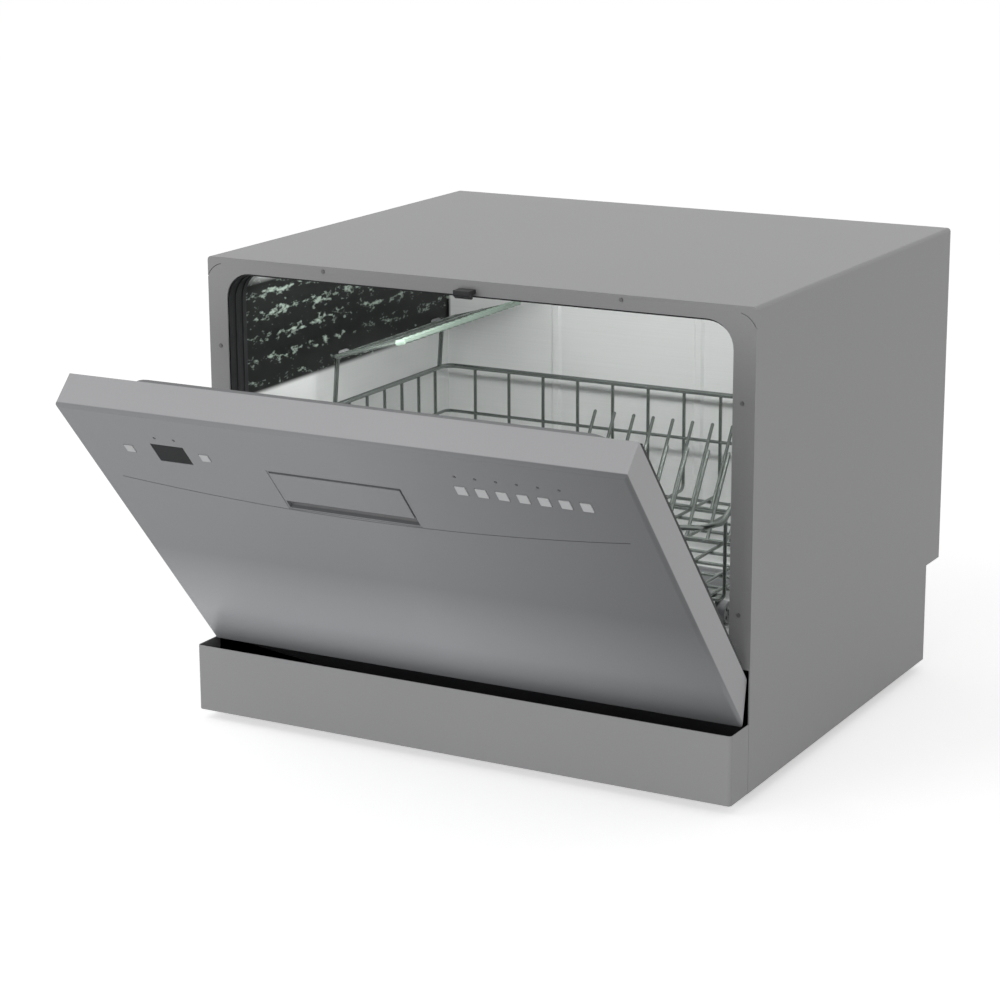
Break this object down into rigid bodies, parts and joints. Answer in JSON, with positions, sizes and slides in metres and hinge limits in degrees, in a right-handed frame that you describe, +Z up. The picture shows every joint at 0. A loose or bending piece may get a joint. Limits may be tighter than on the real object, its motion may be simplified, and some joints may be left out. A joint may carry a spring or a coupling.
{
  "type": "countertop dishwasher",
  "caption": "Compact countertop dishwasher with a drop-down door, push buttons, lever handle, wheeled wire rack, cutlery basket, spray arm and detergent dispenser.",
  "frame": {"origin": "middle of the footprint's bounding box, on the worktop, with the door 40 degrees open", "axes": "+X to the right, +Y to the back, +Z up, seen by someone standing in front of the door"},
  "size_m": [0.55, 0.6998, 0.438],
  "materials": {
    "case_paint": "satin",
    "stainless": "satin",
    "plated_steel": "satin",
    "door_paint": "satin",
    "black_plastic": "matte",
    "black_rubber": "matte",
    "grey_plastic": "satin",
    "white_plastic": "satin",
    "dark_window": "gloss",
    "lens": "gloss",
    "board": "satin",
    "rack_coat": "satin"
  },
  "bodies": {
    "cabinet": {"outer_casing": "case_paint", "rear_panel": "case_paint", "base_tray": "black_plastic", "plinth": "case_paint", "feet": "black_rubber", "casing_screws": "plated_steel", "tub": "stainless", "tub_gasket": "black_rubber", "sill_seal": "black_rubber", "door_catch": "black_plastic", "hinge_brackets": "plated_steel", "hinge_springs": "plated_steel", "sump": "black_plastic", "circulation_pump": "grey_plastic", "drain_pump": "grey_plastic", "heater": "stainless", "softener": "white_plastic", "inlet_valve": "white_plastic", "drain_spigot": "black_plastic", "cord_gland": "black_plastic", "air_break": "white_plastic", "wash_pipe": "black_plastic", "spray_hub": "black_plastic"},
    "door": {"door_panel": "door_paint", "door_liner": "stainless", "door_side_seals": "black_rubber", "door_screws": "plated_steel", "hinge_arms": "plated_steel", "handle_pocket": "door_paint", "display_window": "dark_window", "indicator_lenses": "lens", "control_board": "board", "dispenser_body": "grey_plastic"},
    "rack": {"rack_frame": "rack_coat", "cutlery_basket": "grey_plastic"},
    "spray_arm": {"spray_arm": "grey_plastic"},
    "salt_cap": {"salt_cap": "grey_plastic"},
    "filter_cup": {"filter_cup": "grey_plastic"},
    "pump_impeller": {"pump_impeller": "white_plastic"},
    "dispenser_lid": {"dispenser_lid": "grey_plastic"},
    "rinse_cap": {"rinse_cap": "grey_plastic"},
    "handle_lever": {"handle_lever": "door_paint"},
    "latch_pawl": {"latch_pawl": "white_plastic"},
    "button_power": {"button_power": "door_paint"},
    "button_start": {"button_start": "door_paint"},
    "cup_shelf": {"cup_shelf": "rack_coat"},
    "button_1": {"button_1": "door_paint"},
    "button_2": {"button_2": "door_paint"},
    "button_3": {"button_3": "door_paint"},
    "button_4": {"button_4": "door_paint"},
    "button_5": {"button_5": "door_paint"},
    "button_6": {"button_6": "door_paint"},
    "button_7": {"button_7": "door_paint"},
    "wheel_1": {"wheel_1": "grey_plastic"},
    "wheel_2": {"wheel_2": "grey_plastic"},
    "wheel_3": {"wheel_3": "grey_plastic"},
    "wheel_4": {"wheel_4": "grey_plastic"},
    "wheel_5": {"wheel_5": "grey_plastic"},
    "wheel_6": {"wheel_6": "grey_plastic"}
  },
  "joints": [
    {"name": "door_hinge", "type": "hinge", "parent": "cabinet", "child": "door", "pos_m": [0, -0.12863, 0.113], "axis": [1, 0, 0], "range_deg": [-40, 50]},
    {"name": "rack_slide", "type": "slide", "parent": "cabinet", "child": "rack", "axis": [0, -1, 0], "range_m": [-0.0301, 0.33]},
    {"name": "spray_arm_spin", "type": "hinge", "parent": "cabinet", "child": "spray_arm", "pos_m": [0, 0.09437, 0.1345], "axis": [0, 0, 1], "continuous": true},
    {"name": "salt_cap_turn", "type": "hinge", "parent": "cabinet", "child": "salt_cap", "pos_m": [-0.14, -0.01363, 0.122], "axis": [0, 0, 1], "range_deg": [0, 90]},
    {"name": "filter_turn", "type": "hinge", "parent": "cabinet", "child": "filter_cup", "pos_m": [0.11, -0.00363, 0.12], "axis": [0, 0, 1], "range_deg": [0, 90]},
    {"name": "impeller_spin", "type": "hinge", "parent": "cabinet", "child": "pump_impeller", "pos_m": [0.105, 0.12437, 0.062], "axis": [1, 0, 0], "continuous": true},
    {"name": "lid_slide", "type": "slide", "parent": "door", "child": "dispenser_lid", "axis": [-1, 0, 0], "range_m": [0, 0.062]},
    {"name": "rinse_cap_turn", "type": "hinge", "parent": "door", "child": "rinse_cap", "pos_m": [0.062, -0.20632, 0.25537], "axis": [0, 0.766, 0.6428], "range_deg": [0, 90]},
    {"name": "handle_pull", "type": "hinge", "parent": "door", "child": "handle_lever", "pos_m": [-0.0155, -0.30959, 0.30004], "axis": [-1, 0, 0], "range_deg": [0, 18], "stiffness_Nm_per_rad": 0.5, "springref_deg": -5.73},
    {"name": "pawl_tilt", "type": "hinge", "parent": "door", "child": "latch_pawl", "pos_m": [0, -0.3148, 0.34514], "axis": [1, 0, 0], "range_deg": [0, 12]},
    {"name": "cup_shelf_fold", "type": "hinge", "parent": "rack", "child": "cup_shelf", "pos_m": [-0.2285, 0.08437, 0.322], "axis": [0, -1, 0], "range_deg": [0, 72]},
    {"name": "button_power_press", "type": "slide", "parent": "door", "child": "button_power", "axis": [0, 0.766, 0.6428], "range_m": [0, 0.001], "stiffness_N_per_m": 800, "springref_m": -0.0005},
    {"name": "button_start_press", "type": "slide", "parent": "door", "child": "button_start", "axis": [0, 0.766, 0.6428], "range_m": [0, 0.001], "stiffness_N_per_m": 800, "springref_m": -0.0005},
    {"name": "button_1_press", "type": "slide", "parent": "door", "child": "button_1", "axis": [0, 0.766, 0.6428], "range_m": [0, 0.001], "stiffness_N_per_m": 800, "springref_m": -0.0005},
    {"name": "button_2_press", "type": "slide", "parent": "door", "child": "button_2", "axis": [0, 0.766, 0.6428], "range_m": [0, 0.001], "stiffness_N_per_m": 800, "springref_m": -0.0005},
    {"name": "button_3_press", "type": "slide", "parent": "door", "child": "button_3", "axis": [0, 0.766, 0.6428], "range_m": [0, 0.001], "stiffness_N_per_m": 800, "springref_m": -0.0005},
    {"name": "button_4_press", "type": "slide", "parent": "door", "child": "button_4", "axis": [0, 0.766, 0.6428], "range_m": [0, 0.001], "stiffness_N_per_m": 800, "springref_m": -0.0005},
    {"name": "button_5_press", "type": "slide", "parent": "door", "child": "button_5", "axis": [0, 0.766, 0.6428], "range_m": [0, 0.001], "stiffness_N_per_m": 800, "springref_m": -0.0005},
    {"name": "button_6_press", "type": "slide", "parent": "door", "child": "button_6", "axis": [0, 0.766, 0.6428], "range_m": [0, 0.001], "stiffness_N_per_m": 800, "springref_m": -0.0005},
    {"name": "button_7_press", "type": "slide", "parent": "door", "child": "button_7", "axis": [0, 0.766, 0.6428], "range_m": [0, 0.001], "stiffness_N_per_m": 800, "springref_m": -0.0005},
    {"name": "wheel_1_spin", "type": "hinge", "parent": "rack", "child": "wheel_1", "pos_m": [-0.229, -0.06563, 0.1554], "axis": [1, 0, 0], "continuous": true},
    {"name": "wheel_2_spin", "type": "hinge", "parent": "rack", "child": "wheel_2", "pos_m": [-0.229, 0.06737, 0.1554], "axis": [1, 0, 0], "continuous": true},
    {"name": "wheel_3_spin", "type": "hinge", "parent": "rack", "child": "wheel_3", "pos_m": [-0.229, 0.21437, 0.1554], "axis": [1, 0, 0], "continuous": true},
    {"name": "wheel_4_spin", "type": "hinge", "parent": "rack", "child": "wheel_4", "pos_m": [0.229, -0.06563, 0.1554], "axis": [1, 0, 0], "continuous": true},
    {"name": "wheel_5_spin", "type": "hinge", "parent": "rack", "child": "wheel_5", "pos_m": [0.229, 0.06737, 0.1554], "axis": [1, 0, 0], "continuous": true},
    {"name": "wheel_6_spin", "type": "hinge", "parent": "rack", "child": "wheel_6", "pos_m": [0.229, 0.21437, 0.1554], "axis": [1, 0, 0], "continuous": true}
  ],
  "couplings": [
    {"joint": "rack_slide", "follows": "door_hinge", "m_per_rad": 0.042972},
    {"joint": "pawl_tilt", "follows": "handle_pull", "ratio": 0.6}
  ]
}
